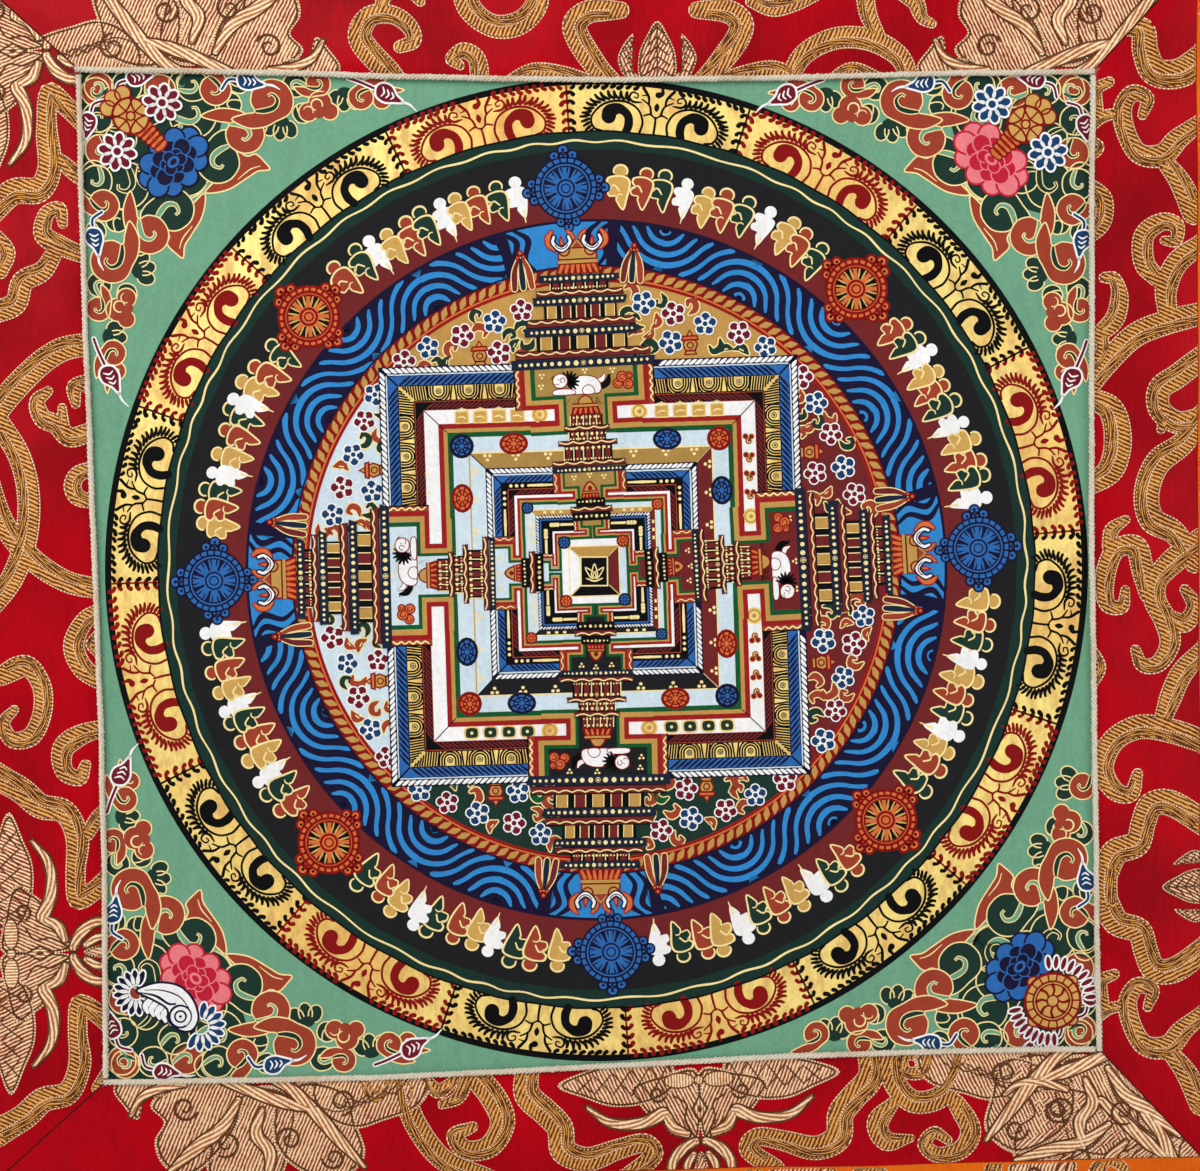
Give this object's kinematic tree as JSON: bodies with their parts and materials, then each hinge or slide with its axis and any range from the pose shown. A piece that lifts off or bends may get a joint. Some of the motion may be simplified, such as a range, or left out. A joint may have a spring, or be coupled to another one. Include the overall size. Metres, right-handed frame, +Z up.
{
  "type": "thangka scroll painting",
  "caption": "Square painted cotton canvas with a round mandala, set in mitred red brocade strips with an orange outer border and a twisted cord over the seam.",
  "frame": {"origin": "middle of the top edge, where the hanging is held up", "axes": "+Z up, +X to the right as seen from the front, and the painted front faces -Y"},
  "size_m": [0.4044, 0.0059, 0.3998],
  "materials": {
    "painted_canvas": "opaque paint on primed cotton, with touches of gold paint",
    "red_brocade": "satin ground with woven gold scrolls",
    "orange_brocade": "satin ground with a woven gold pattern",
    "cotton_cord": "matt twisted cotton"
  },
  "bodies": {
    "root": {"painting_canvas": "painted_canvas", "brocade_top": "red_brocade", "brocade_right": "red_brocade", "brocade_bottom": "red_brocade", "brocade_left": "red_brocade", "outer_strip_top": "orange_brocade", "outer_strip_right": "orange_brocade", "outer_strip_bottom": "orange_brocade", "outer_strip_left": "orange_brocade", "cord_top": "cotton_cord", "cord_right": "cotton_cord", "cord_bottom": "cotton_cord", "cord_left": "cotton_cord"}
  },
  "joints": []
}
